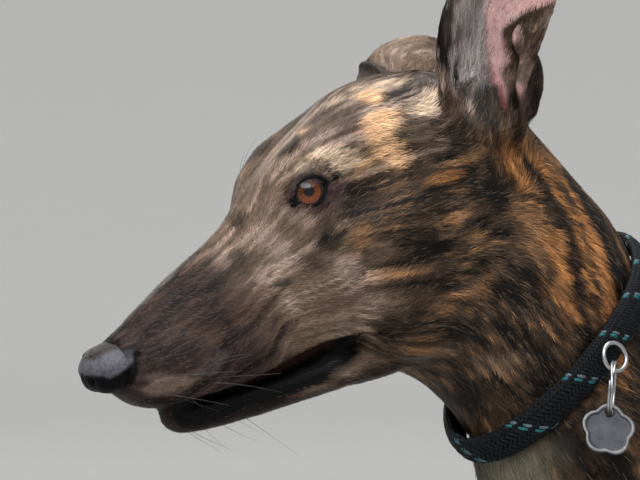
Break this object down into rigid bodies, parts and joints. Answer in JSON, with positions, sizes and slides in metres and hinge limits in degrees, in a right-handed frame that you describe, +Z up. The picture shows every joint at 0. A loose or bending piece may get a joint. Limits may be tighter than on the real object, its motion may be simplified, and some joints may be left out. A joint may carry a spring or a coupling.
{
  "type": "greyhound",
  "caption": "Life-size brindle greyhound standing alert, its head turned to its right, one ear pricked and one folded, with a cord collar and a metal tag.",
  "frame": {"origin": "on the floor under the middle of the bounding box", "axes": "+Z up, the dog faces -Y and its left side is towards +X"},
  "size_m": [0.2368, 1.0548, 0.9636],
  "materials": {
    "coat": "short, close, brindle coat",
    "nose_leather": "moist pebbled leather",
    "eyes": "wet amber eye with a dark pupil",
    "claws": "dull dark horn",
    "cord": "tight braid, dark with pale flecks",
    "steel": "polished, lightly worn"
  },
  "bodies": {
    "root": {"claw_fore_left_1": "claws", "claw_fore_left_2": "claws", "claw_fore_left_3": "claws", "claw_fore_left_4": "claws", "claw_fore_right_1": "claws", "claw_fore_right_2": "claws", "claw_fore_right_3": "claws", "claw_fore_right_4": "claws", "claw_hind_left_1": "claws", "claw_hind_left_2": "claws", "claw_hind_left_3": "claws", "claw_hind_left_4": "claws", "claw_hind_right_1": "claws", "claw_hind_right_2": "claws", "claw_hind_right_3": "claws", "claw_hind_right_4": "claws", "collar": "cord", "ear_left": "coat", "ear_right": "coat", "eye_left": "eyes", "eye_right": "eyes", "forearm_left": "coat", "forearm_right": "coat", "forefoot_left": "coat", "forefoot_right": "coat", "head": "coat", "hindfoot_left": "coat", "hindfoot_right": "coat", "hock_left": "coat", "hock_right": "coat", "link": "steel", "lower_jaw": "coat", "neck": "coat", "nose": "nose_leather", "shank_left": "coat", "shank_right": "coat", "shoulder_left": "coat", "shoulder_right": "coat", "split_ring": "steel", "tag": "steel", "tail_base": "coat", "tail_middle": "coat", "tail_tip": "coat", "thigh_left": "coat", "thigh_right": "coat", "torso": "coat"}
  },
  "joints": []
}
